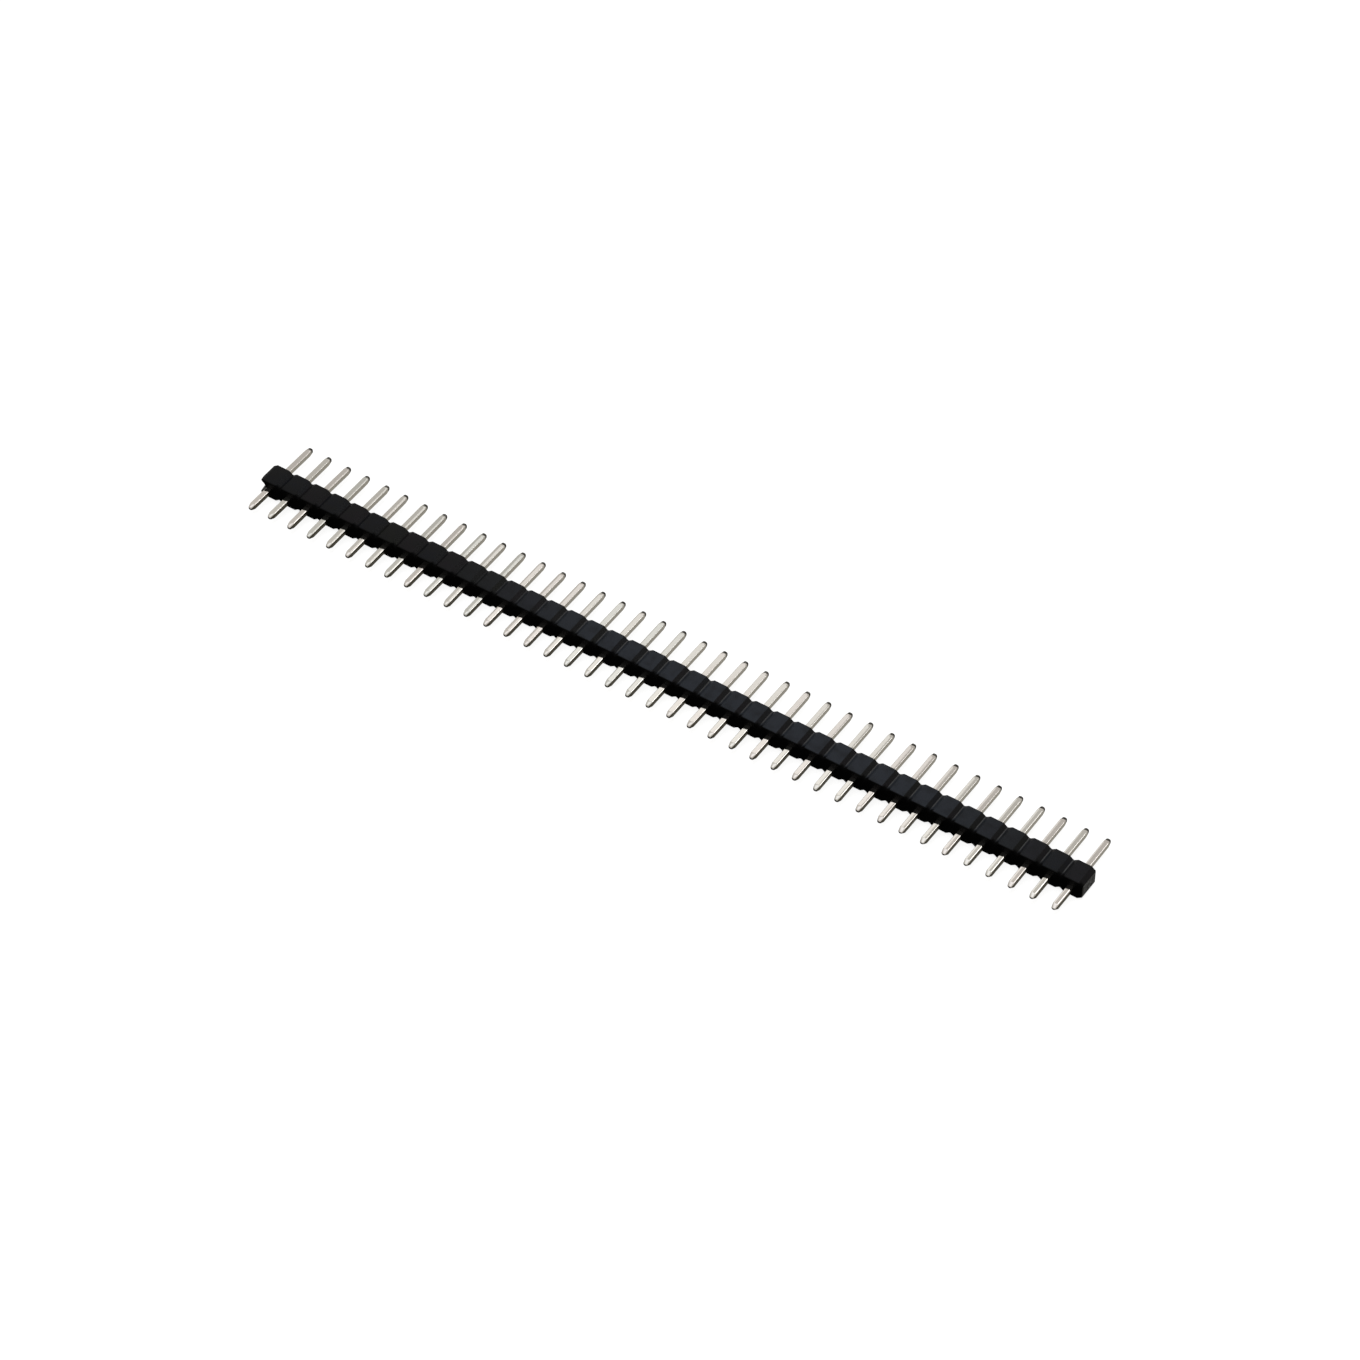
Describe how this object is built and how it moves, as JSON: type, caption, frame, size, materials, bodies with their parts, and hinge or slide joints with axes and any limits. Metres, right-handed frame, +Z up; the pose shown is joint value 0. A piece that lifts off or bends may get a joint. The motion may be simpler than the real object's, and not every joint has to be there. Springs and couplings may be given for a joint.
{
  "type": "pin header strip",
  "caption": "Break-away single-row male pin header: square tinned pins through a black moulded insulator with V-notches between positions.",
  "frame": {"origin": "on the surface the strip lies on, under the middle of the row and halfway along the pins", "axes": "+X along the row, +Y along the pins towards the long mating side, +Z up from the flats that the insulator rests on"},
  "size_m": [0.1016, 0.0108, 0.0024],
  "materials": {
    "insulator": "fine moulded satin, black glass-filled thermoplastic",
    "tinned_pin": "bright tin plate over brass, drawn lengthwise"
  },
  "bodies": {
    "root": {"insulator": "insulator", "pin_01": "tinned_pin", "pin_02": "tinned_pin", "pin_03": "tinned_pin", "pin_04": "tinned_pin", "pin_05": "tinned_pin", "pin_06": "tinned_pin", "pin_07": "tinned_pin", "pin_08": "tinned_pin", "pin_09": "tinned_pin", "pin_10": "tinned_pin", "pin_11": "tinned_pin", "pin_12": "tinned_pin", "pin_13": "tinned_pin", "pin_14": "tinned_pin", "pin_15": "tinned_pin", "pin_16": "tinned_pin", "pin_17": "tinned_pin", "pin_18": "tinned_pin", "pin_19": "tinned_pin", "pin_20": "tinned_pin", "pin_21": "tinned_pin", "pin_22": "tinned_pin", "pin_23": "tinned_pin", "pin_24": "tinned_pin", "pin_25": "tinned_pin", "pin_26": "tinned_pin", "pin_27": "tinned_pin", "pin_28": "tinned_pin", "pin_29": "tinned_pin", "pin_30": "tinned_pin", "pin_31": "tinned_pin", "pin_32": "tinned_pin", "pin_33": "tinned_pin", "pin_34": "tinned_pin", "pin_35": "tinned_pin", "pin_36": "tinned_pin", "pin_37": "tinned_pin", "pin_38": "tinned_pin", "pin_39": "tinned_pin", "pin_40": "tinned_pin"}
  },
  "joints": []
}
